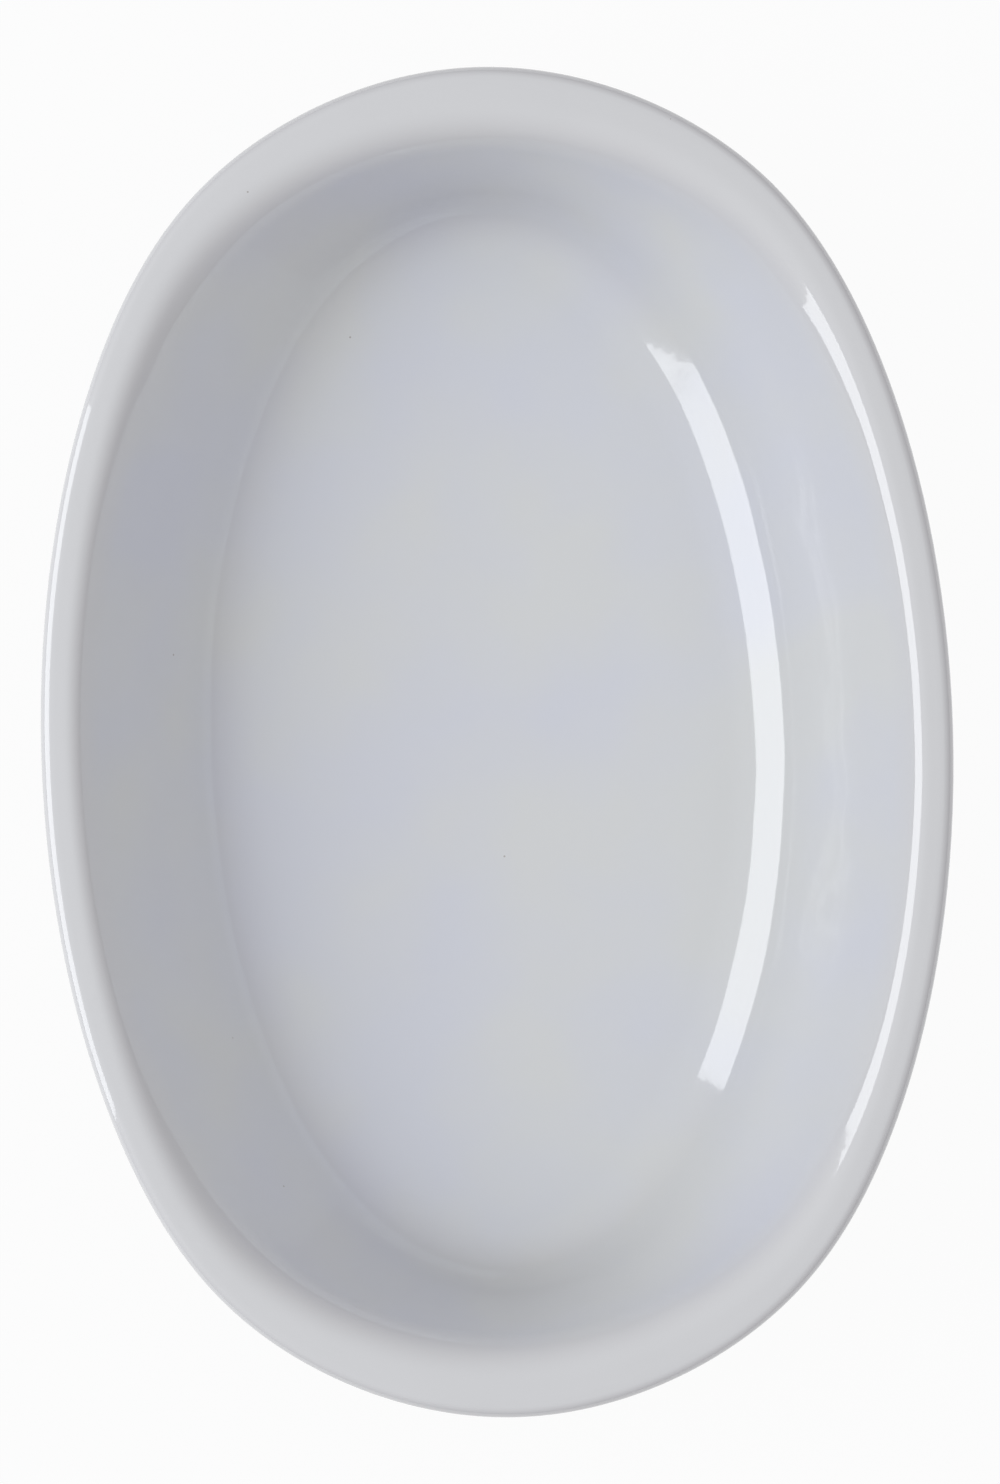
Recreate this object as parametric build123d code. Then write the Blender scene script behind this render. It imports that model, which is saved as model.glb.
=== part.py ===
from build123d import *
import math
import os

# An oval gratin dish in glazed stoneware, in millimetres.
# +Z is up, +Y runs along the dish, and the origin is the middle of the plane that the foot stands on.
# The finished surface is worked out first, and the clay lies one glaze thickness under it.

# Over the lip
dish_length = 260.0
dish_width = 175.6
dish_height = 42.0

# The lip: flat on top with a half-round edge, and wider at the ends, where the dish is held.
# Its overhang is how far it stands out past the wall. The crest is its bend down to the inside.
lip_thickness = 4.8
lip_overhang_side = 1.4
lip_overhang_end = 10.2
crest_radius_side = 3.8
crest_radius_end = 9.0
under_lip_rise_share = 0.2

# The bowl: how far its wall leans out for each unit of rise, and how it turns into the floor
side_lean_share = 0.816
end_lean_share = 0.357
floor_radius_side = 18.0
floor_radius_end = 13.5
wall_thickness = 5.0

# An oval is an ellipse pushed out along its normals by a bulge at its four shoulders.
# The bulge sits somewhat nearer the long sides than the ends. The inside's floor is drawn in there
# by its pinch, and the foot is a plain ellipse.
lip_bulge = 3.7
crest_bulge = 4.7
floor_pinch = 2.2
bulge_to_side_share = 0.59

# The foot ring: bare clay that the dish stands on, with the recess inside it
foot_height = 3.0
foot_outset = 3.8
foot_width = 4.2
foot_edge_radius = 0.8
foot_root_radius = 1.8
recess_corner_radius = 1.0

# The glaze: its thickness, the bare band over the foot, and the bare margin in the recess
glaze_thickness = 0.4
bare_band = 1.2
recess_margin = 2.2

# How finely the surfaces are worked out, and how close two of their levels may come
oval_points = 48
bend_steps = 7
wall_steps = 3
ring_gap = 0.01


def arc_reach(radius, rise):
    """How far a circle reaches sideways at a rise above or below its centre."""
    return math.sqrt(max(radius**2 - rise**2, 0))


class Section:
    """The dish cut through its middle, from the centre out to one side or to one end.

    A surface's depth is how far it lies under the finished one: 0 for the glaze, and the glaze's
    thickness for the clay.
    """

    def __init__(self, lip_reach, lip_overhang, crest_radius, lean, floor_radius):
        self.lean = lean
        self.slope = math.atan2(1, lean)
        across = math.sin(self.slope)
        down = math.cos(self.slope)
        self.crest_radius = crest_radius
        self.crest_level = dish_height - crest_radius
        self.crest = lip_reach - lip_overhang - wall_thickness / across + crest_radius * across
        self.floor_radius = floor_radius
        self.floor_level = foot_height + wall_thickness
        self.bend_level = self.floor_level + floor_radius
        radii = floor_radius + crest_radius
        wall_rise = self.crest_level - self.bend_level + radii * down
        self.floor = self.crest - radii * across - wall_rise * lean

        # Under the lip a cove runs tangent from the wall to the lip's half-round edge
        self.edge_radius = lip_thickness / 2
        self.edge = lip_reach - self.edge_radius
        self.edge_level = dish_height - self.edge_radius
        self.rise = math.atan(under_lip_rise_share)
        out = self.edge + self.edge_radius * math.sin(self.rise)
        up = self.edge_level - self.edge_radius * math.cos(self.rise)
        stand_out = (out - self.floor) * across - (up - self.bend_level) * down
        stand_out -= floor_radius + wall_thickness
        turn = self.slope - self.rise
        self.cove_radius = stand_out / math.sin(turn) / math.tan(turn / 2)
        self.cove = out + self.cove_radius * math.sin(self.rise)
        self.cove_level = up - self.cove_radius * math.cos(self.rise)

        # Over the foot a small root runs tangent from the foot's side to the clay's floor bend
        self.foot = self.floor + foot_outset
        joined = floor_radius + wall_thickness - glaze_thickness + foot_root_radius
        self.root_level = self.bend_level - arc_reach(joined, foot_outset + foot_root_radius)
        self.root_top = self.root_level + (self.bend_level - self.root_level) * foot_root_radius / joined

    def inside(self, level, depth):
        """How far out the cavity reaches: the floor bend, the wall, then the crest."""
        radius = self.floor_radius + depth
        if level < self.bend_level - radius * math.cos(self.slope):
            return self.floor + arc_reach(radius, self.bend_level - level)
        radius = self.crest_radius - depth
        above = level - self.crest_level - radius * math.cos(self.slope)
        if above > 0:
            return self.crest - arc_reach(radius, level - self.crest_level)
        return self.crest - radius * math.sin(self.slope) + above * self.lean

    def outside(self, level, depth):
        """How far out the outer surface reaches: foot, root, floor bend, wall, cove, lip edge."""
        if level < self.root_level:
            below = max(foot_edge_radius - level, 0)
            return self.foot - foot_edge_radius + arc_reach(foot_edge_radius, below)
        if level < self.root_top:
            return self.foot + foot_root_radius - arc_reach(foot_root_radius, level - self.root_level)
        radius = self.floor_radius + wall_thickness - depth
        above = level - self.bend_level + radius * math.cos(self.slope)
        if above < 0:
            return self.floor + arc_reach(radius, self.bend_level - level)
        hollow = self.cove_radius + depth
        if level < self.cove_level + hollow * math.cos(self.slope):
            return self.floor + radius * math.sin(self.slope) + above * self.lean
        if level < self.cove_level + hollow * math.cos(self.rise):
            return self.cove - arc_reach(hollow, level - self.cove_level)
        return self.edge + arc_reach(self.edge_radius - depth, level - self.edge_level)

    def recess(self, level):
        """How far out the recess reaches inside the foot ring."""
        inner = self.foot - foot_width
        if level < foot_edge_radius:
            return inner + foot_edge_radius - arc_reach(foot_edge_radius, foot_edge_radius - level)
        above = level - recess_level + recess_corner_radius
        return inner - recess_corner_radius + arc_reach(recess_corner_radius, max(above, 0))


side = Section(dish_width / 2, lip_overhang_side, crest_radius_side, side_lean_share, floor_radius_side)
end = Section(dish_length / 2, lip_overhang_end, crest_radius_end, end_lean_share, floor_radius_end)
recess_level = foot_height + glaze_thickness
root_top = max(side.root_top, end.root_top)
glaze_line = root_top + bare_band


def oval(half_width, half_length, bulge, level):
    """A closed oval wire at one level, from how far its edge lies from the centre at each turn."""
    points = []
    for step in range(oval_points):
        turn = 2 * math.pi * step / oval_points
        c, s = math.cos(turn), math.sin(turn)
        reach = math.hypot(half_width * c, half_length * s)
        change = (half_length**2 - half_width**2) * c * s / reach
        shoulder = math.sin(2 * turn) ** 2
        lean = 1 + bulge_to_side_share * math.cos(2 * turn)
        lean_change = -2 * bulge_to_side_share * math.sin(2 * turn)
        reach += bulge * shoulder * lean
        change += bulge * (2 * math.sin(4 * turn) * lean + shoulder * lean_change)
        points.append((reach * c - change * s, reach * s + change * c, level))
    knots = list(range(oval_points + 1))
    return Wire([Edge.make_spline(points, periodic=True, parameters=knots)])


def bend(flat, upright):
    """Levels along a bend, from where it lies flat to where it stands upright."""
    turns = [math.pi / 2 * step / bend_steps for step in range(bend_steps + 1)]
    return [flat + (upright - flat) * (1 - math.cos(turn)) for turn in turns]


def climb(low, high):
    """Evenly spaced levels up a straight stretch."""
    return [low + (high - low) * step / wall_steps for step in range(wall_steps + 1)]


def ellipse(half_width, half_length, level):
    """A plain ellipse as a closed wire at one level."""
    return Wire([Edge.make_ellipse(half_width, half_length, Plane((0, 0, level)))])


def skin(runs, ring):
    """The smooth surface through the rings at all levels of the runs, less those that nearly repeat."""
    found = []
    for level in sorted(level for run in runs for level in run):
        if not found or level - found[-1] > ring_gap:
            found.append(level)
    return Shell.make_loft([ring(level) for level in found]).face()


def inner_skin(depth):
    """The inside surface, from the floor's edge to the flat of the lip."""

    def ring(level):
        reach = side.inside(level, depth)
        climbed = (reach - side.floor) / (side.crest - side.floor)
        bulge = (crest_bulge + floor_pinch) * climbed - floor_pinch
        return oval(reach, end.inside(level, depth), bulge, level)

    floor, top = side.floor_level - depth, dish_height - depth
    wall = climb(end.bend_level, end.crest_level)
    return skin((bend(floor, end.bend_level), wall, bend(top, end.crest_level)), ring)


def outer_skin(depth, *runs):
    """The outside surface at the levels of the runs."""

    def ring(level):
        reach = side.outside(level, depth)
        bulge = lip_bulge * min((reach - side.floor) / (side.edge - side.floor), 1)
        return oval(reach, end.outside(level, depth), bulge, level)

    return skin(runs, ring)


def glazed_outside(depth):
    """The outside surface that the glaze covers, from its line over the foot to the flat of the lip."""
    cove_end = side.edge_level - (side.edge_radius - depth) * math.cos(side.rise)
    cove_start = end.cove_level
    return outer_skin(
        depth,
        bend(glaze_line, end.bend_level),
        climb(end.bend_level, cove_start),
        bend(cove_end, cove_start),
        bend(cove_end, side.edge_level),
        bend(dish_height - depth, side.edge_level),
    )


def edge_of(surface, top):
    """A skin's closed edge at its top or at its bottom."""
    loops = [edge for edge in surface.edges() if edge.is_closed]
    loops.sort(key=lambda loop: loop.center().Z)
    return Wire([loops[-1 if top else 0]])


def closed(*faces):
    """The solid that the faces enclose."""
    return Solid(Shell(faces))


clay_inside = inner_skin(glaze_thickness)
clay_outside = glazed_outside(glaze_thickness)
clay_floor = Face(edge_of(clay_inside, False))
clay_land = Face(edge_of(clay_outside, True), [edge_of(clay_inside, True)])

# The bare clay: a band over the foot, the foot ring and the recess
bare_outside = outer_skin(
    glaze_thickness,
    bend(0, foot_edge_radius),
    climb(foot_edge_radius, side.root_level),
    bend(root_top, side.root_level),
    climb(root_top, glaze_line),
)
recess_side = skin(
    (
        bend(0, foot_edge_radius),
        climb(foot_edge_radius, recess_level - recess_corner_radius),
        bend(recess_level, recess_level - recess_corner_radius),
    ),
    lambda level: ellipse(side.recess(level), end.recess(level), level),
)
foot_rest = Face(edge_of(bare_outside, False), [edge_of(recess_side, False)])
recess_top = Face(edge_of(recess_side, True))
dish_body = closed(
    clay_inside, clay_floor, clay_land, clay_outside, bare_outside, foot_rest, recess_side, recess_top
)

# The glaze over the inside, the lip and the outside
glaze_inside = inner_skin(0)
glaze_outside = glazed_outside(0)
glaze_floor = Face(edge_of(glaze_inside, False))
glaze_land = Face(edge_of(glaze_outside, True), [edge_of(glaze_inside, True)])
glaze_end = Face(edge_of(glaze_outside, False), [edge_of(clay_outside, False)])
glaze_coat = closed(
    glaze_inside,
    glaze_floor,
    glaze_land,
    glaze_outside,
    glaze_end,
    clay_outside,
    clay_land,
    clay_inside,
    clay_floor,
)

# The glaze on the underside, within the foot ring
patch_inset = foot_width + recess_margin
patch = ellipse(side.foot - patch_inset, end.foot - patch_inset, foot_height)
recess_glaze = extrude(Face(patch), glaze_thickness, dir=(0, 0, 1))

os.makedirs("parts", exist_ok=True)
export_step(dish_body, "parts/dish_body.step")
export_step(glaze_coat, "parts/glaze_coat.step")
export_step(recess_glaze, "parts/recess_glaze.step")
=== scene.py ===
"""An oval gratin dish in white-glazed stoneware, standing on a foot ring of bare clay.

The dish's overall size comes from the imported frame, and its forms follow the same section as the
frame does. The finishes, the studio light and the view from overhead are made here.
"""

import logging
import math
from dataclasses import dataclass, field
from enum import Enum
from functools import cached_property
from typing import Any, Iterable, Sequence

import bmesh
import bpy
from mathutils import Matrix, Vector


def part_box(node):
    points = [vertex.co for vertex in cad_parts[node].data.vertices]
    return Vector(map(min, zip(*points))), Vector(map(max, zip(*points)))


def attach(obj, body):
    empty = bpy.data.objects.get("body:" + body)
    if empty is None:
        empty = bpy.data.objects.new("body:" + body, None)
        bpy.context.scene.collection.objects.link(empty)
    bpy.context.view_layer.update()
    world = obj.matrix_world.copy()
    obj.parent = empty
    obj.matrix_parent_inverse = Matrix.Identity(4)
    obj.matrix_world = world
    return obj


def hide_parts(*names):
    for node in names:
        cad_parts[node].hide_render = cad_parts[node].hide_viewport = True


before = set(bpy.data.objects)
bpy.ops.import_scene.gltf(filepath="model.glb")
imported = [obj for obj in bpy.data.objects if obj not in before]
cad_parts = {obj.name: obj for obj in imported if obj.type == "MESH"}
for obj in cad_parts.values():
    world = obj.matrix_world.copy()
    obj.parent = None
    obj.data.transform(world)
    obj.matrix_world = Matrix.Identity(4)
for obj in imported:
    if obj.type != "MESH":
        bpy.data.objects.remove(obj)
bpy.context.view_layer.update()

log = logging.getLogger("gratin_dish")

MM = 0.001
QUARTER_TURN = math.pi / 2

# The places of a colour Mix node's sockets, which share their names with its other kinds
MIX_FACTOR = 0
MIX_FROM = 6
MIX_TO = 7
MIX_COLOUR = 2


class Slot(Enum):
    """The record's material slots."""

    GLAZE = "white_glaze"
    CLAY = "bare_clay"


# Forms


@dataclass(frozen=True)
class OvalRing:
    """A level oval: an ellipse pushed out along its normals at its four shoulders.

    Attributes:
        across: Half of its width, along X, in metres.
        along: Half of its length, along Y, in metres.
        level: Its height, in metres.
        bulge: How far the shoulders are pushed out, in metres.
        bulge_to_side: How much nearer the long sides than the ends the bulge sits, as a share.
    """

    across: float
    along: float
    level: float
    bulge: float = 0.0
    bulge_to_side: float = 0.59

    def point(self, turn: float) -> Vector:
        """Finds the point whose outward normal stands at a turn from +X.

        Args:
            turn: The normal's turn from +X, in radians.

        Returns:
            The point, in metres.
        """
        c, s = math.cos(turn), math.sin(turn)
        reach = math.hypot(self.across * c, self.along * s)
        change = 0.0
        if reach > 0:
            change = (self.along**2 - self.across**2) * c * s / reach
        shoulder = math.sin(2 * turn) ** 2
        lean = 1 + self.bulge_to_side * math.cos(2 * turn)
        lean_change = -2 * self.bulge_to_side * math.sin(2 * turn)
        reach += self.bulge * shoulder * lean
        change += self.bulge * (2 * math.sin(4 * turn) * lean + shoulder * lean_change)
        return Vector((reach * c - change * s, reach * s + change * c, self.level))

    def shrunk(self, share: float) -> "OvalRing":
        """Gives the ring of the same level at a share of this one's size."""
        return OvalRing(self.across * share, self.along * share, self.level, self.bulge * share)

    def towards(self, other: "OvalRing", share: float) -> "OvalRing":
        """Gives the ring that lies a share of the way from this one to another."""
        return OvalRing(
            self.across + (other.across - self.across) * share,
            self.along + (other.along - self.along) * share,
            self.level + (other.level - self.level) * share,
            self.bulge + (other.bulge - self.bulge) * share,
        )


def arc_reach(radius: float, rise: float) -> float:
    """Gives how far a circle reaches sideways at a rise above or below its centre."""
    return math.sqrt(max(radius**2 - rise**2, 0.0))


@dataclass(frozen=True)
class Section:
    """The dish cut through its middle, from the centre out to one side or to one end.

    A surface's depth is how far it lies under the finished one: nothing for the glaze, and the
    glaze's thickness for the clay. All lengths are in metres.

    Attributes:
        lip_reach: How far out the lip's edge lies.
        height: The level of the lip's flat top.
        lip_overhang: How far the lip stands out past the wall.
        crest_radius: The radius of the bend from the lip down to the inside.
        lean: How far the wall leans out for each unit of rise.
        floor_radius: The radius of the bend from the floor up to the wall.
        lip_thickness: The lip's thickness at its half-round edge.
        under_lip_rise: How far the lip's underside rises for each unit outwards.
        wall: The thickness of the wall and the floor.
        glaze: The thickness of the glaze.
        foot_height: How high the foot ring holds the floor's underside.
        foot_outset: How far the foot stands out past the flat floor.
        foot_width: The width of the foot ring.
        foot_edge_radius: The rounding of the foot's edges.
        foot_root_radius: The hollow between the foot's side and the bowl.
        recess_corner_radius: The rounding of the corner in the recess.
    """

    lip_reach: float
    height: float
    lip_overhang: float
    crest_radius: float
    lean: float
    floor_radius: float
    lip_thickness: float = 4.8 * MM
    under_lip_rise: float = 0.2
    wall: float = 5.0 * MM
    glaze: float = 0.4 * MM
    foot_height: float = 3.0 * MM
    foot_outset: float = 3.8 * MM
    foot_width: float = 4.2 * MM
    foot_edge_radius: float = 0.8 * MM
    foot_root_radius: float = 1.8 * MM
    recess_corner_radius: float = 1.0 * MM

    @cached_property
    def slope(self) -> float:
        """The wall's angle from level, in radians."""
        return math.atan2(1, self.lean)

    @cached_property
    def crest(self) -> float:
        """How far out the centre of the crest's bend lies."""
        across = math.sin(self.slope)
        return self.lip_reach - self.lip_overhang - self.wall / across + self.crest_radius * across

    @cached_property
    def crest_level(self) -> float:
        """The level of the centre of the crest's bend."""
        return self.height - self.crest_radius

    @cached_property
    def floor_level(self) -> float:
        """The level of the glazed floor."""
        return self.foot_height + self.wall

    @cached_property
    def bend_level(self) -> float:
        """The level of the centre of the floor's bend."""
        return self.floor_level + self.floor_radius

    @cached_property
    def floor(self) -> float:
        """How far out the flat floor reaches."""
        radii = self.floor_radius + self.crest_radius
        wall_rise = self.crest_level - self.bend_level + radii * math.cos(self.slope)
        return self.crest - radii * math.sin(self.slope) - wall_rise * self.lean

    @cached_property
    def edge_radius(self) -> float:
        """The radius of the lip's half-round edge."""
        return self.lip_thickness / 2

    @cached_property
    def edge(self) -> float:
        """How far out the centre of the lip's edge lies."""
        return self.lip_reach - self.edge_radius

    @cached_property
    def edge_level(self) -> float:
        """The level of the centre of the lip's edge."""
        return self.height - self.edge_radius

    @cached_property
    def rise(self) -> float:
        """The angle at which the lip's underside leaves its edge, in radians."""
        return math.atan(self.under_lip_rise)

    @cached_property
    def under_lip(self) -> Vector:
        """Where the half-round edge meets the cove, as reach and level."""
        out = self.edge + self.edge_radius * math.sin(self.rise)
        return Vector((out, self.edge_level - self.edge_radius * math.cos(self.rise)))

    @cached_property
    def cove_radius(self) -> float:
        """The radius of the hollow between the wall and the lip's underside."""
        stand_out = (self.under_lip.x - self.floor) * math.sin(self.slope)
        stand_out -= (self.under_lip.y - self.bend_level) * math.cos(self.slope)
        stand_out -= self.floor_radius + self.wall
        turn = self.slope - self.rise
        return stand_out / math.sin(turn) / math.tan(turn / 2)

    @cached_property
    def cove(self) -> Vector:
        """The cove's centre, as reach and level."""
        out = self.under_lip.x + self.cove_radius * math.sin(self.rise)
        return Vector((out, self.under_lip.y - self.cove_radius * math.cos(self.rise)))

    @cached_property
    def foot(self) -> float:
        """How far out the foot's side stands."""
        return self.floor + self.foot_outset

    @cached_property
    def root_joined(self) -> float:
        """The distance between the centres of the foot's root and of the floor's bend."""
        return self.floor_radius + self.wall - self.glaze + self.foot_root_radius

    @cached_property
    def root_level(self) -> float:
        """The level of the centre of the foot's root."""
        return self.bend_level - arc_reach(self.root_joined, self.foot_outset + self.foot_root_radius)

    @cached_property
    def root_top(self) -> float:
        """The level where the foot's root meets the floor's bend."""
        rise = self.bend_level - self.root_level
        return self.root_level + rise * self.foot_root_radius / self.root_joined

    def inside(self, level: float, depth: float) -> float:
        """Gives how far out the cavity reaches: the floor's bend, the wall, then the crest.

        Args:
            level: The height, in metres.
            depth: How far the surface lies under the finished one, in metres.

        Returns:
            The reach from the middle, in metres.
        """
        radius = self.floor_radius + depth
        if level < self.bend_level - radius * math.cos(self.slope):
            return self.floor + arc_reach(radius, self.bend_level - level)
        radius = self.crest_radius - depth
        above = level - self.crest_level - radius * math.cos(self.slope)
        if above > 0:
            return self.crest - arc_reach(radius, level - self.crest_level)
        return self.crest - radius * math.sin(self.slope) + above * self.lean

    def outside(self, level: float, depth: float) -> float:
        """Gives how far out the outer surface reaches: foot, root, bend, wall, cove, lip edge.

        Args:
            level: The height, in metres.
            depth: How far the surface lies under the finished one, in metres.

        Returns:
            The reach from the middle, in metres.
        """
        if level < self.root_level:
            below = max(self.foot_edge_radius - level, 0.0)
            return self.foot - self.foot_edge_radius + arc_reach(self.foot_edge_radius, below)
        if level < self.root_top:
            hollow = arc_reach(self.foot_root_radius, level - self.root_level)
            return self.foot + self.foot_root_radius - hollow
        radius = self.floor_radius + self.wall - depth
        above = level - self.bend_level + radius * math.cos(self.slope)
        if above < 0:
            return self.floor + arc_reach(radius, self.bend_level - level)
        hollow = self.cove_radius + depth
        if level < self.cove.y + hollow * math.cos(self.slope):
            return self.floor + radius * math.sin(self.slope) + above * self.lean
        if level < self.cove.y + hollow * math.cos(self.rise):
            return self.cove.x - arc_reach(hollow, level - self.cove.y)
        return self.edge + arc_reach(self.edge_radius - depth, level - self.edge_level)

    def recess(self, level: float) -> float:
        """Gives how far out the recess reaches inside the foot ring, in metres."""
        inner = self.foot - self.foot_width
        if level < self.foot_edge_radius:
            round_edge = arc_reach(self.foot_edge_radius, self.foot_edge_radius - level)
            return inner + self.foot_edge_radius - round_edge
        above = level - self.foot_height - self.glaze + self.recess_corner_radius
        return inner - self.recess_corner_radius + arc_reach(self.recess_corner_radius, max(above, 0.0))


@dataclass(frozen=True)
class Fineness:
    """How finely the surfaces are worked out.

    Attributes:
        bend: The steps along a large bend.
        climb: The steps up the wall.
        flat: The steps from the middle of a flat oval to its rim.
        land: The steps across the lip's flat top.
        roll: The steps along a small rounded edge.
        foot: The steps up a short straight stretch at the foot.
        turns: The corners of each ring.
        gap: The least distance between two levels, in metres.
    """

    bend: int = 14
    climb: int = 5
    flat: int = 8
    land: int = 3
    roll: int = 5
    foot: int = 2
    turns: int = 288
    gap: float = 0.02 * MM


def bend_levels(flat: float, upright: float, steps: int) -> list[float]:
    """Spaces levels along a bend, from where it lies flat to where it stands upright.

    Args:
        flat: The level where the bend lies flat, in metres.
        upright: The level where it stands upright, in metres.
        steps: How many steps to take.

    Returns:
        The levels, closer together where the bend is flat.
    """
    turns = [QUARTER_TURN * step / steps for step in range(steps + 1)]
    return [flat + (upright - flat) * (1 - math.cos(turn)) for turn in turns]


def climb_levels(low: float, high: float, steps: int) -> list[float]:
    """Spaces levels evenly up a straight stretch."""
    return [low + (high - low) * step / steps for step in range(steps + 1)]


@dataclass(frozen=True)
class DishForm:
    """The surfaces of the whole dish, as rings worked out from its two sections.

    Attributes:
        side: The section out to a long side.
        end: The section out to an end.
        fineness: How finely the surfaces are worked out.
        lip_bulge: The bulge of the lip's edge, in metres.
        crest_bulge: The bulge of the inside at the crest, in metres.
        floor_pinch: How far the inside's floor is drawn in at its shoulders, in metres.
        bare_band: The height of the bare band over the foot's root, in metres.
        recess_margin: The width of the bare margin in the recess, in metres.
    """

    side: Section
    end: Section
    fineness: Fineness = Fineness()
    lip_bulge: float = 3.7 * MM
    crest_bulge: float = 4.7 * MM
    floor_pinch: float = 2.2 * MM
    bare_band: float = 1.2 * MM
    recess_margin: float = 2.2 * MM

    @cached_property
    def glaze_line(self) -> float:
        """The level where the glaze stops above the foot."""
        return max(self.side.root_top, self.end.root_top) + self.bare_band

    def merged(self, *runs: Iterable[float]) -> list[float]:
        """Sorts the levels of several runs, less those that nearly repeat."""
        found: list[float] = []
        for level in sorted(level for run in runs for level in run):
            if not found or level - found[-1] > self.fineness.gap:
                found.append(level)
        return found

    def inner_ring(self, level: float, depth: float) -> OvalRing:
        """Gives the cavity's ring at a level and a depth under the glaze."""
        reach = self.side.inside(level, depth)
        share = (reach - self.side.floor) / (self.side.crest - self.side.floor)
        bulge = (self.crest_bulge + self.floor_pinch) * share - self.floor_pinch
        return OvalRing(reach, self.end.inside(level, depth), level, bulge)

    def outer_ring(self, level: float, depth: float) -> OvalRing:
        """Gives the outer surface's ring at a level and a depth under the glaze."""
        reach = self.side.outside(level, depth)
        share = (reach - self.side.floor) / (self.side.edge - self.side.floor)
        return OvalRing(reach, self.end.outside(level, depth), level, self.lip_bulge * min(share, 1.0))

    def recess_ring(self, level: float) -> OvalRing:
        """Gives the recess's ring at a level."""
        return OvalRing(self.side.recess(level), self.end.recess(level), level)

    def disc(self, rim: OvalRing) -> list[OvalRing]:
        """Fills a flat oval with rings, from its middle out to just inside its rim."""
        return [rim.shrunk(step / self.fineness.flat) for step in range(self.fineness.flat)]

    def inside(self, depth: float) -> list[OvalRing]:
        """Gives the rings of the inside, from the middle of the floor out to the lip's flat top."""
        fine = self.fineness
        floor, top = self.side.floor_level - depth, self.side.height - depth
        levels = self.merged(
            bend_levels(floor, self.end.bend_level, fine.bend),
            climb_levels(self.end.bend_level, self.end.crest_level, fine.climb),
            bend_levels(top, self.end.crest_level, fine.bend),
        )
        rings = [self.inner_ring(level, depth) for level in levels]
        return self.disc(rings[0]) + rings

    def outside(self, depth: float, low: float) -> list[OvalRing]:
        """Gives the rings of the outside, from a level over the foot up to the lip's flat top."""
        fine = self.fineness
        cove_end = self.side.edge_level - (self.side.edge_radius - depth) * math.cos(self.side.rise)
        cove_start = self.end.cove.y
        levels = self.merged(
            bend_levels(low, self.end.bend_level, fine.bend),
            climb_levels(self.end.bend_level, cove_start, fine.climb),
            bend_levels(cove_end, cove_start, fine.bend),
            bend_levels(cove_end, self.side.edge_level, fine.bend),
            bend_levels(self.side.height - depth, self.side.edge_level, fine.bend),
        )
        return [self.outer_ring(level, depth) for level in levels]

    def over_the_lip(self, depth: float, low: float) -> list[OvalRing]:
        """Gives the rings from the middle of the floor, over the lip and down the outside.

        Args:
            depth: How far the surface lies under the finished one, in metres.
            low: The level over the foot where the rings stop, in metres.

        Returns:
            The rings in their order along the surface.
        """
        inner = self.inside(depth)
        outer = self.outside(depth, low)[::-1]
        shares = [step / self.fineness.land for step in range(1, self.fineness.land)]
        land = [inner[-1].towards(outer[0], share) for share in shares]
        return inner + land + outer


# Meshes

SAME_POINT = 0.0005 * MM


def closed_skin(rings: Sequence[OvalRing], turns: int) -> bmesh.types.BMesh:
    """Builds a closed surface through rings that start and end at a point.

    A circle is drawn up into a tower with a storey for each ring, and each of its corners is then
    set on its ring. The rings of no size at both ends close to a point.

    Args:
        rings: The rings in their order along the surface.
        turns: How many corners each ring has.

    Returns:
        The mesh, with its faces turned outwards.
    """
    tower = bmesh.new()
    bmesh.ops.create_circle(tower, segments=turns, radius=1.0)
    top = list(tower.edges)
    for _ in rings[1:]:
        drawn = bmesh.ops.extrude_edge_only(tower, edges=top)["geom"]
        corners = [part for part in drawn if isinstance(part, bmesh.types.BMVert)]
        bmesh.ops.translate(tower, verts=corners, vec=(0.0, 0.0, 1.0))
        top = [part for part in drawn if isinstance(part, bmesh.types.BMEdge) and part.is_boundary]
    for corner in tower.verts:
        ring = rings[round(corner.co.z)]
        corner.co = ring.point(math.atan2(corner.co.y, corner.co.x))
    bmesh.ops.remove_doubles(tower, verts=tower.verts, dist=SAME_POINT)
    bmesh.ops.recalc_face_normals(tower, faces=tower.faces)
    for face in tower.faces:
        face.smooth = True
    return tower


def as_object(name: str, mesh: bmesh.types.BMesh) -> bpy.types.Object:
    """Makes a finished mesh an object at the origin.

    Args:
        name: The object's name.
        mesh: The mesh, which is used up.

    Returns:
        The object, linked to the scene.
    """
    data = bpy.data.meshes.new(name)
    mesh.to_mesh(data)
    mesh.free()
    made = bpy.data.objects.new(name, data)
    bpy.context.scene.collection.objects.link(made)
    return made


# Finishes


def linear(colour: str) -> tuple[float, float, float, float]:
    """Turns an sRGB hex colour into linear values.

    Args:
        colour: The colour, such as "#C8CACF".

    Returns:
        Red, green and blue as linear shares, and an alpha of 1.
    """
    shares = [int(colour[place : place + 2], 16) / 255 for place in (1, 3, 5)]
    red, green, blue = [
        share / 12.92 if share <= 0.04045 else ((share + 0.055) / 1.055) ** 2.4 for share in shares
    ]
    return red, green, blue, 1.0


def add_node(
    tree: bpy.types.NodeTree,
    kind: str,
    settings: dict[str, Any] | None = None,
    inputs: dict[str | int, Any] | None = None,
) -> bpy.types.Node:
    """Adds a shader node with its settings and its links.

    Args:
        tree: The node tree that takes it.
        kind: The node's type, such as "ShaderNodeTexNoise".
        settings: Values for the node's own settings.
        inputs: For each input, by name or place, its value or the output that it is linked to.

    Returns:
        The new node.
    """
    node = tree.nodes.new(kind)
    for name, value in (settings or {}).items():
        setattr(node, name, value)
    for name, value in (inputs or {}).items():
        if isinstance(value, bpy.types.NodeSocket):
            tree.links.new(value, node.inputs[name])
        else:
            node.inputs[name].default_value = value
    return node


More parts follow.
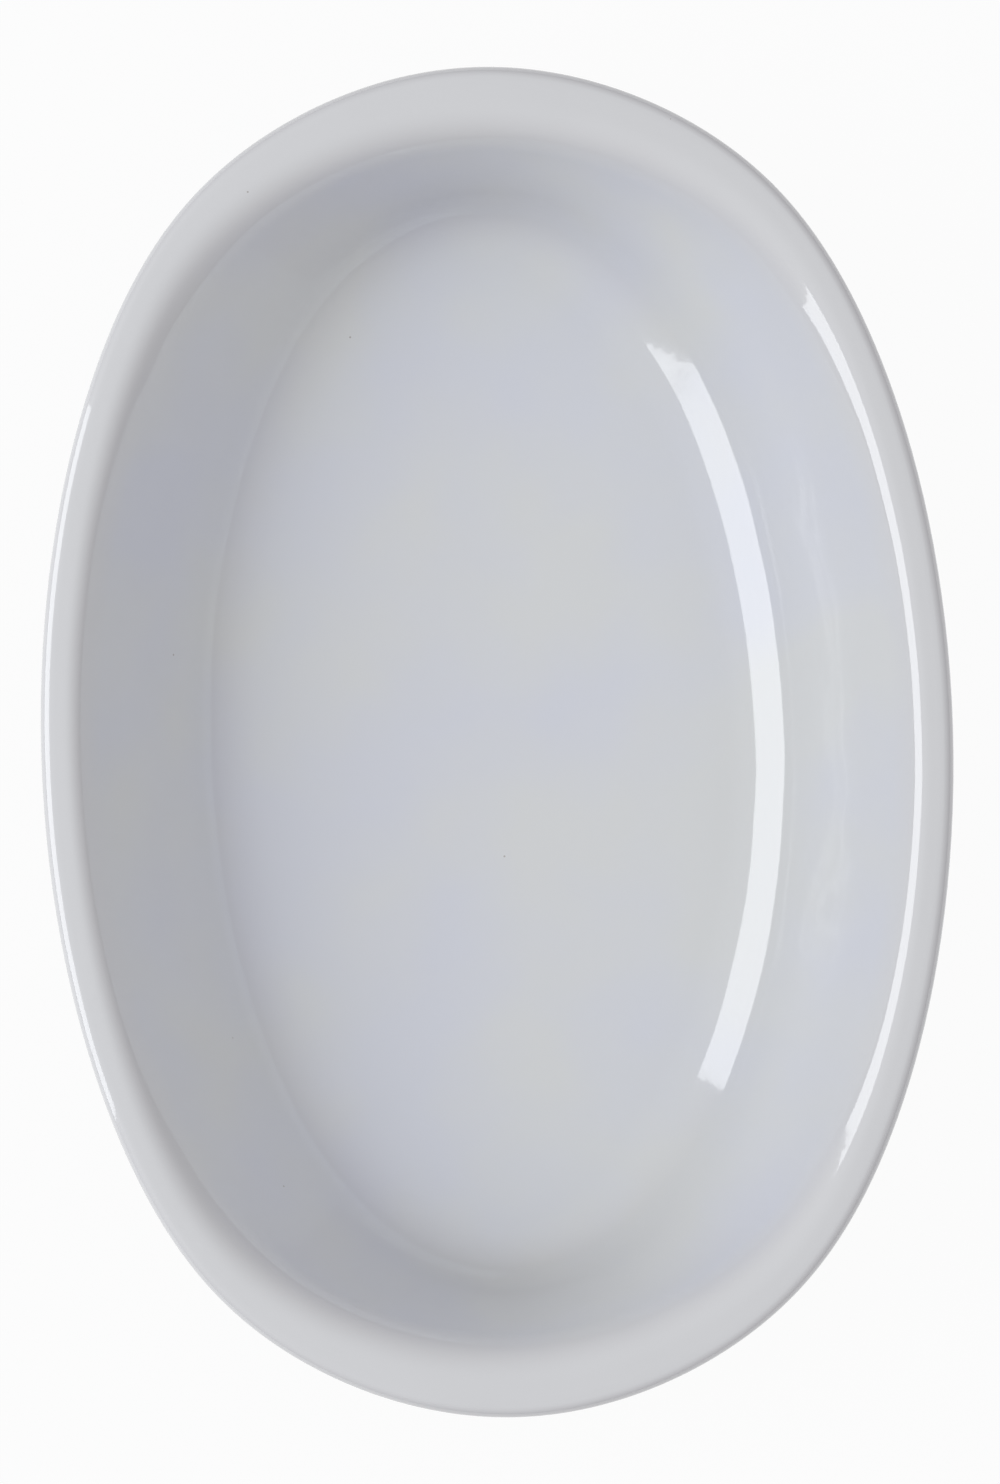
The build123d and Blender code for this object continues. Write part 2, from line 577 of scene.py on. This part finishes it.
def empty_material(name: str) -> bpy.types.Material:
    """Makes a material with an empty node tree."""
    material = bpy.data.materials.new(name)
    material.use_nodes = True
    material.node_tree.nodes.clear()
    return material


@dataclass(frozen=True)
class WhiteStonewareGlaze:
    """White opaque glaze, poured and fired glossy over a stoneware body.

    The eye sees a cool white with crisp reflections that waver a little where the glaze has run,
    very soft clouds where it lies thicker, a plainer white where it has drawn thin over the lip, and
    here and there a tiny speck of iron. All lengths are in metres.

    Attributes:
        name: The material's name.
        thick: The colour where the glaze lies thick.
        thin: The colour where it lies thin.
        over_lip: The colour over the lip.
        speck: The colour of the specks.
        lip_low: The level where the lip's colour begins.
        lip_high: The level from which only the lip's colour shows.
        cloud_width: The width of the clouds.
        cloud_detail: How many finer layers the clouds have.
        cloud_roughness: How strong those layers are.
        cloud_low: The share of the clouds' pattern up to which the glaze is thick.
        cloud_high: The share of it from which the glaze is thin.
        run_width: The width of the slow waves where the glaze has run.
        run_depth: Their depth.
        peel_width: The width of the fine waves in its surface.
        peel_depth: Their depth.
        speck_spacing: The width of the cells that a speck may lie in.
        speck_width: A speck's width.
        speck_share: The share of the cells that have a speck.
        roughness: The roughness of the white body.
        ior: Its index of refraction.
        coat_roughness: The roughness of the glassy skin.
        coat_ior: The skin's index of refraction.
    """

    name: str = "white_stoneware_glaze"
    thick: str = "#CED1D9"
    thin: str = "#D2D4D4"
    over_lip: str = "#D1D2D3"
    speck: str = "#ACA9A5"
    lip_low: float = 36 * MM
    lip_high: float = 41 * MM
    cloud_width: float = 34 * MM
    cloud_detail: float = 2.0
    cloud_roughness: float = 0.45
    cloud_low: float = 0.35
    cloud_high: float = 0.65
    run_width: float = 30 * MM
    run_depth: float = 0.6 * MM
    peel_width: float = 2.4 * MM
    peel_depth: float = 0.008 * MM
    speck_spacing: float = 9 * MM
    speck_width: float = 0.4 * MM
    speck_share: float = 0.16
    roughness: float = 0.08
    ior: float = 1.52
    coat_roughness: float = 0.03
    coat_ior: float = 1.5

    def material(self) -> bpy.types.Material:
        """Builds the material."""
        made = empty_material(self.name)
        tree = made.node_tree
        place = add_node(tree, "ShaderNodeTexCoord").outputs["Object"]
        clouds = add_node(
            tree,
            "ShaderNodeTexNoise",
            inputs={
                "Vector": place,
                "Scale": 1 / self.cloud_width,
                "Detail": self.cloud_detail,
                "Roughness": self.cloud_roughness,
            },
        )
        cloudy = add_node(
            tree,
            "ShaderNodeMapRange",
            inputs={
                "Value": clouds.outputs["Fac"],
                "From Min": self.cloud_low,
                "From Max": self.cloud_high,
            },
        )
        body = add_node(
            tree,
            "ShaderNodeMix",
            {"data_type": "RGBA"},
            {
                MIX_FACTOR: cloudy.outputs["Result"],
                MIX_FROM: linear(self.thick),
                MIX_TO: linear(self.thin),
            },
        )
        spot = add_node(tree, "ShaderNodeSeparateXYZ", inputs={"Vector": place})
        towards_lip = add_node(
            tree,
            "ShaderNodeMapRange",
            inputs={"Value": spot.outputs["Z"], "From Min": self.lip_low, "From Max": self.lip_high},
        )
        drawn_thin = add_node(
            tree,
            "ShaderNodeMix",
            {"data_type": "RGBA"},
            {
                MIX_FACTOR: towards_lip.outputs["Result"],
                MIX_FROM: body.outputs[MIX_COLOUR],
                MIX_TO: linear(self.over_lip),
            },
        )
        cells = add_node(
            tree, "ShaderNodeTexVoronoi", inputs={"Vector": place, "Scale": 1 / self.speck_spacing}
        )
        near = add_node(
            tree,
            "ShaderNodeMath",
            {"operation": "LESS_THAN"},
            {0: cells.outputs["Distance"], 1: self.speck_width / self.speck_spacing / 2},
        )
        chance = add_node(tree, "ShaderNodeSeparateColor", inputs={"Color": cells.outputs["Color"]})
        chosen = add_node(
            tree,
            "ShaderNodeMath",
            {"operation": "LESS_THAN"},
            {0: chance.outputs["Red"], 1: self.speck_share},
        )
        specks = add_node(
            tree, "ShaderNodeMath", {"operation": "MULTIPLY"}, {0: near.outputs[0], 1: chosen.outputs[0]}
        )
        colour = add_node(
            tree,
            "ShaderNodeMix",
            {"data_type": "RGBA"},
            {
                MIX_FACTOR: specks.outputs[0],
                MIX_FROM: drawn_thin.outputs[MIX_COLOUR],
                MIX_TO: linear(self.speck),
            },
        )
        runs = add_node(
            tree,
            "ShaderNodeTexNoise",
            inputs={"Vector": place, "Scale": 1 / self.run_width, "Detail": 1.0},
        )
        peel = add_node(
            tree,
            "ShaderNodeTexNoise",
            inputs={"Vector": place, "Scale": 1 / self.peel_width, "Detail": 1.0},
        )
        waved = add_node(
            tree, "ShaderNodeBump", inputs={"Height": runs.outputs["Fac"], "Distance": self.run_depth}
        )
        pitted = add_node(
            tree,
            "ShaderNodeBump",
            inputs={
                "Height": peel.outputs["Fac"],
                "Distance": self.peel_depth,
                "Normal": waved.outputs["Normal"],
            },
        )
        shader = add_node(
            tree,
            "ShaderNodeBsdfPrincipled",
            inputs={
                "Base Color": colour.outputs[MIX_COLOUR],
                "Roughness": self.roughness,
                "IOR": self.ior,
                "Normal": pitted.outputs["Normal"],
                "Coat Weight": 1.0,
                "Coat Roughness": self.coat_roughness,
                "Coat IOR": self.coat_ior,
                "Coat Normal": pitted.outputs["Normal"],
            },
        )
        add_node(tree, "ShaderNodeOutputMaterial", inputs={"Surface": shader.outputs["BSDF"]})
        return made


@dataclass(frozen=True)
class BareStoneware:
    """Fired stoneware clay without glaze, sponged smooth at the foot.

    The eye sees a matte, pale buff body with a fine sandy grain and slightly darker tones here and
    there. All lengths are in metres.

    Attributes:
        name: The material's name.
        pale: The colour of the paler tones.
        dark: The colour of the darker tones.
        tone_width: The width of the tones.
        tone_detail: How many finer layers the tones have.
        tone_roughness: How strong those layers are.
        grain_width: The width of the sandy grain.
        grain_detail: How many finer layers the grain has.
        grain_depth: The grain's depth.
        roughness: The roughness of the clay.
    """

    name: str = "bare_stoneware"
    pale: str = "#D9CFC0"
    dark: str = "#C3B49E"
    tone_width: float = 18 * MM
    tone_detail: float = 6.0
    tone_roughness: float = 0.7
    grain_width: float = 0.7 * MM
    grain_detail: float = 3.0
    grain_depth: float = 0.05 * MM
    roughness: float = 0.85

    def material(self) -> bpy.types.Material:
        """Builds the material."""
        made = empty_material(self.name)
        tree = made.node_tree
        place = add_node(tree, "ShaderNodeTexCoord").outputs["Object"]
        tones = add_node(
            tree,
            "ShaderNodeTexNoise",
            inputs={
                "Vector": place,
                "Scale": 1 / self.tone_width,
                "Detail": self.tone_detail,
                "Roughness": self.tone_roughness,
            },
        )
        colour = add_node(
            tree,
            "ShaderNodeMix",
            {"data_type": "RGBA"},
            {
                MIX_FACTOR: tones.outputs["Fac"],
                MIX_FROM: linear(self.dark),
                MIX_TO: linear(self.pale),
            },
        )
        grain = add_node(
            tree,
            "ShaderNodeTexNoise",
            inputs={"Vector": place, "Scale": 1 / self.grain_width, "Detail": self.grain_detail},
        )
        rough = add_node(
            tree, "ShaderNodeBump", inputs={"Height": grain.outputs["Fac"], "Distance": self.grain_depth}
        )
        shader = add_node(
            tree,
            "ShaderNodeBsdfPrincipled",
            inputs={
                "Base Color": colour.outputs[MIX_COLOUR],
                "Roughness": self.roughness,
                "Normal": rough.outputs["Normal"],
            },
        )
        add_node(tree, "ShaderNodeOutputMaterial", inputs={"Surface": shader.outputs["BSDF"]})
        return made


# The dish


@dataclass
class GratinDish:
    """The dish: its glaze, the clay under it, and the glaze within the foot ring."""

    form: DishForm
    glaze: WhiteStonewareGlaze = field(default_factory=WhiteStonewareGlaze)
    clay: BareStoneware = field(default_factory=BareStoneware)

    def glaze_coat(self) -> bmesh.types.BMesh:
        """Builds the glaze over the inside, the lip and the outside, with its rolled lower end."""
        form = self.form
        thickness = form.side.glaze
        line = form.glaze_line
        steps = form.fineness.roll
        outer = form.over_the_lip(0.0, line + thickness)
        roll = []
        for step in range(1, steps):
            turn = QUARTER_TURN * step / steps
            level = line + thickness * (1 - math.sin(turn))
            roll.append(form.outer_ring(level, thickness * (1 - math.cos(turn))))
        under = form.over_the_lip(thickness, line)[::-1]
        return closed_skin(outer + roll + under, form.fineness.turns)

    def clay_body(self) -> bmesh.types.BMesh:
        """Builds the clay, with its foot ring and the recess inside that."""
        form, fine = self.form, self.form.fineness
        side = form.side
        edge = side.foot_edge_radius
        top = side.foot_height + side.glaze
        root_top = max(side.root_top, form.end.root_top)
        foot_levels = form.merged(
            bend_levels(0.0, edge, fine.roll),
            climb_levels(edge, side.root_level, fine.foot),
            bend_levels(root_top, side.root_level, fine.roll),
            climb_levels(root_top, form.glaze_line, fine.foot),
        )
        foot = [form.outer_ring(level, side.glaze) for level in foot_levels[:-1]][::-1]
        recess_levels = form.merged(
            bend_levels(0.0, edge, fine.roll),
            climb_levels(edge, top - side.recess_corner_radius, fine.foot),
            bend_levels(top, top - side.recess_corner_radius, fine.roll),
        )
        recess = [form.recess_ring(level) for level in recess_levels]
        rings = form.over_the_lip(side.glaze, form.glaze_line) + foot + recess
        rings += form.disc(recess[-1])[::-1]
        return closed_skin(rings, fine.turns)

    def recess_patch(self) -> bmesh.types.BMesh:
        """Builds the thin glaze inside the foot ring, with its rounded rim."""
        form, fine = self.form, self.form.fineness
        side = form.side
        inset = side.foot_width + form.recess_margin
        across, along = side.foot - inset, form.end.foot - inset
        top = OvalRing(across, along, side.foot_height + side.glaze)
        roll = []
        for step in range(fine.roll + 1):
            turn = QUARTER_TURN * step / fine.roll
            inward = side.glaze * (1 - math.cos(turn))
            level = side.foot_height + side.glaze * (1 - math.sin(turn))
            roll.append(OvalRing(across - inward, along - inward, level))
        return closed_skin(form.disc(top) + roll + form.disc(roll[-1])[::-1], fine.turns)

    def build(self) -> list[bpy.types.Object]:
        """Builds and dresses the pieces.

        Returns:
            The pieces, each riding on the dish's one body.
        """
        glaze, clay = self.glaze.material(), self.clay.material()
        plan = (
            ("glazed_bowl", self.glaze_coat(), glaze, Slot.GLAZE, "glaze_coat"),
            ("clay_foot", self.clay_body(), clay, Slot.CLAY, "dish_body"),
            ("recess_patch", self.recess_patch(), glaze, Slot.GLAZE, "recess_glaze"),
        )
        pieces = []
        for name, mesh, material, slot, node in plan:
            piece = as_object(name, mesh)
            piece.data.materials.append(material)
            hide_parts(node)
            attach(piece, "root")
            pieces.append(piece)
        return pieces


# The studio


@dataclass(frozen=True)
class StudioFloor:
    """A plain pale sheet of paper under the dish.

    It reads as white to the camera and in reflections, and keeps a faint shadow of the dish.

    Attributes:
        colour: The paper's colour, as it lights the dish from below.
        half_width: Half of the sheet's width, in metres.
        whiteness: The share of plain white in what the camera sees of it.
    """

    colour: str = "#BDBDBF"
    half_width: float = 6.0
    whiteness: float = 0.95

    def build(self) -> bpy.types.Object:
        """Builds the floor as part of the stage."""
        mesh = bmesh.new()
        bmesh.ops.create_grid(mesh, x_segments=1, y_segments=1, size=self.half_width)
        floor = as_object("studio_floor", mesh)
        material = empty_material("matte_paper")
        tree = material.node_tree
        seen = add_node(tree, "ShaderNodeLightPath")
        straight = add_node(
            tree,
            "ShaderNodeMath",
            {"operation": "MAXIMUM"},
            {0: seen.outputs["Is Camera Ray"], 1: seen.outputs["Is Transmission Ray"]},
        )
        shown = add_node(
            tree,
            "ShaderNodeMath",
            {"operation": "MAXIMUM"},
            {0: straight.outputs[0], 1: seen.outputs["Is Glossy Ray"]},
        )
        share = add_node(
            tree, "ShaderNodeMath", {"operation": "MULTIPLY"}, {0: shown.outputs[0], 1: self.whiteness}
        )
        paper = add_node(tree, "ShaderNodeBsdfDiffuse", inputs={"Color": linear(self.colour)})
        white = add_node(tree, "ShaderNodeEmission", inputs={"Strength": 1.0})
        mixed = add_node(
            tree,
            "ShaderNodeMixShader",
            inputs={0: share.outputs[0], 1: paper.outputs[0], 2: white.outputs[0]},
        )
        add_node(tree, "ShaderNodeOutputMaterial", inputs={"Surface": mixed.outputs[0]})
        floor.data.materials.append(material)
        return floor


@dataclass(frozen=True)
class Softbox:
    """An upright soft light on the left of the dish.

    Attributes:
        name: The light's name.
        azimuth: Its turn from +X about the dish, in degrees.
        distance: How far off it stands, in metres.
        bottom: The level of its lower edge, in metres.
        top: The level of its upper edge, in metres.
        width: Its width, in metres.
        radiance: How bright it looks, where 1 is white.
        colour: Its colour.
    """

    name: str = "left_softbox"
    azimuth: float = 181.2
    distance: float = 1.2
    bottom: float = 0.2
    top: float = 1.7
    width: float = 1.02
    radiance: float = 2.75
    colour: str = "#F9FCFF"

    def build(self) -> bpy.types.Object:
        """Builds the light."""
        lamp = bpy.data.lights.new(self.name, "AREA")
        lamp.shape = "RECTANGLE"
        lamp.size = self.width
        lamp.size_y = self.top - self.bottom
        lamp.energy = self.radiance * math.pi * lamp.size * lamp.size_y
        lamp.color = linear(self.colour)[:3]
        made = bpy.data.objects.new(self.name, lamp)
        turn = math.radians(self.azimuth)
        middle = (self.bottom + self.top) / 2
        made.location = (self.distance * math.cos(turn), self.distance * math.sin(turn), middle)
        made.rotation_euler = (QUARTER_TURN, 0.0, turn + QUARTER_TURN)
        made.visible_camera = False
        bpy.context.scene.collection.objects.link(made)
        return made


@dataclass(frozen=True)
class StudioSky:
    """The soft light of the room, brightest overhead and dimmer towards the horizon.

    Attributes:
        overhead: The brightness straight overhead.
        horizon: The brightness at the horizon.
        cool: The colour straight overhead.
        warm: The colour at the horizon.
    """

    overhead: float = 0.953
    horizon: float = 0.25
    cool: str = "#FBFDFF"
    warm: str = "#FFF5FA"

    def build(self) -> None:
        """Builds the world's shader."""
        world = bpy.data.worlds.new("studio_sky")
        bpy.context.scene.world = world
        world.use_nodes = True
        tree = world.node_tree
        tree.nodes.clear()
        way = add_node(tree, "ShaderNodeTexCoord").outputs["Generated"]
        parts = add_node(tree, "ShaderNodeSeparateXYZ", inputs={"Vector": way})
        height = add_node(
            tree,
            "ShaderNodeMath",
            {"operation": "MAXIMUM"},
            {0: parts.outputs["Z"], 1: 0.0},
        )
        level = add_node(
            tree,
            "ShaderNodeMath",
            {"operation": "MULTIPLY_ADD"},
            {0: height.outputs[0], 1: self.overhead - self.horizon, 2: self.horizon},
        )
        tint = add_node(
            tree,
            "ShaderNodeMix",
            {"data_type": "RGBA"},
            {
                MIX_FACTOR: height.outputs[0],
                MIX_FROM: linear(self.warm),
                MIX_TO: linear(self.cool),
            },
        )
        glow = add_node(
            tree,
            "ShaderNodeBackground",
            inputs={"Color": tint.outputs[MIX_COLOUR], "Strength": level.outputs[0]},
        )
        add_node(tree, "ShaderNodeOutputWorld", inputs={"Surface": glow.outputs[0]})


@dataclass(frozen=True)
class OverheadCamera:
    """A camera that looks straight down on the dish from somewhat over a metre up.

    Attributes:
        lip_level: The level that the view's length is measured at, in metres.
        height: How high it hangs over the floor, in metres.
        view_length: The length of the view at the lip's level, in metres.
        aside: How far it hangs from the dish's middle, as X and Y in metres.
        roll: Its turn about its own line of sight, in radians.
        sensor: The height of its sensor, in millimetres.
    """

    lip_level: float
    height: float = 1.2
    view_length: float = 285.6 * MM
    aside: tuple[float, float] = (0.55 * MM, 0.0)
    roll: float = -0.0300
    sensor: float = 36.0

    def build(self) -> bpy.types.Object:
        """Builds the camera and makes it the scene's own."""
        lens = bpy.data.cameras.new("overhead_camera")
        lens.sensor_fit = "VERTICAL"
        lens.sensor_height = self.sensor
        lens.lens = self.sensor * (self.height - self.lip_level) / self.view_length
        camera = bpy.data.objects.new("overhead_camera", lens)
        camera.location = (*self.aside, self.height)
        camera.rotation_euler = (0.0, 0.0, self.roll)
        bpy.context.scene.collection.objects.link(camera)
        bpy.context.scene.camera = camera
        return camera


def dish_form() -> DishForm:
    """Works out the dish's sections from the frame's box and the dish's own sizes."""
    low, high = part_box("glaze_coat")
    side = Section(
        lip_reach=(high.x - low.x) / 2,
        height=high.z,
        lip_overhang=1.4 * MM,
        crest_radius=3.8 * MM,
        lean=0.816,
        floor_radius=18.0 * MM,
    )
    end = Section(
        lip_reach=(high.y - low.y) / 2,
        height=high.z,
        lip_overhang=10.2 * MM,
        crest_radius=9.0 * MM,
        lean=0.357,
        floor_radius=13.5 * MM,
    )
    return DishForm(side, end)


def main() -> None:
    """Builds the dish and the studio."""
    logging.basicConfig(level=logging.INFO, format="%(name)s: %(message)s")
    scene = bpy.context.scene
    scene.view_settings.view_transform = "Standard"
    form = dish_form()
    for piece in GratinDish(form).build():
        log.info("%s has %d faces", piece.name, len(piece.data.polygons))
    StudioFloor().build()
    StudioSky().build()
    Softbox().build()
    OverheadCamera(form.side.edge_level).build()


if __name__ == "__main__":
    main()
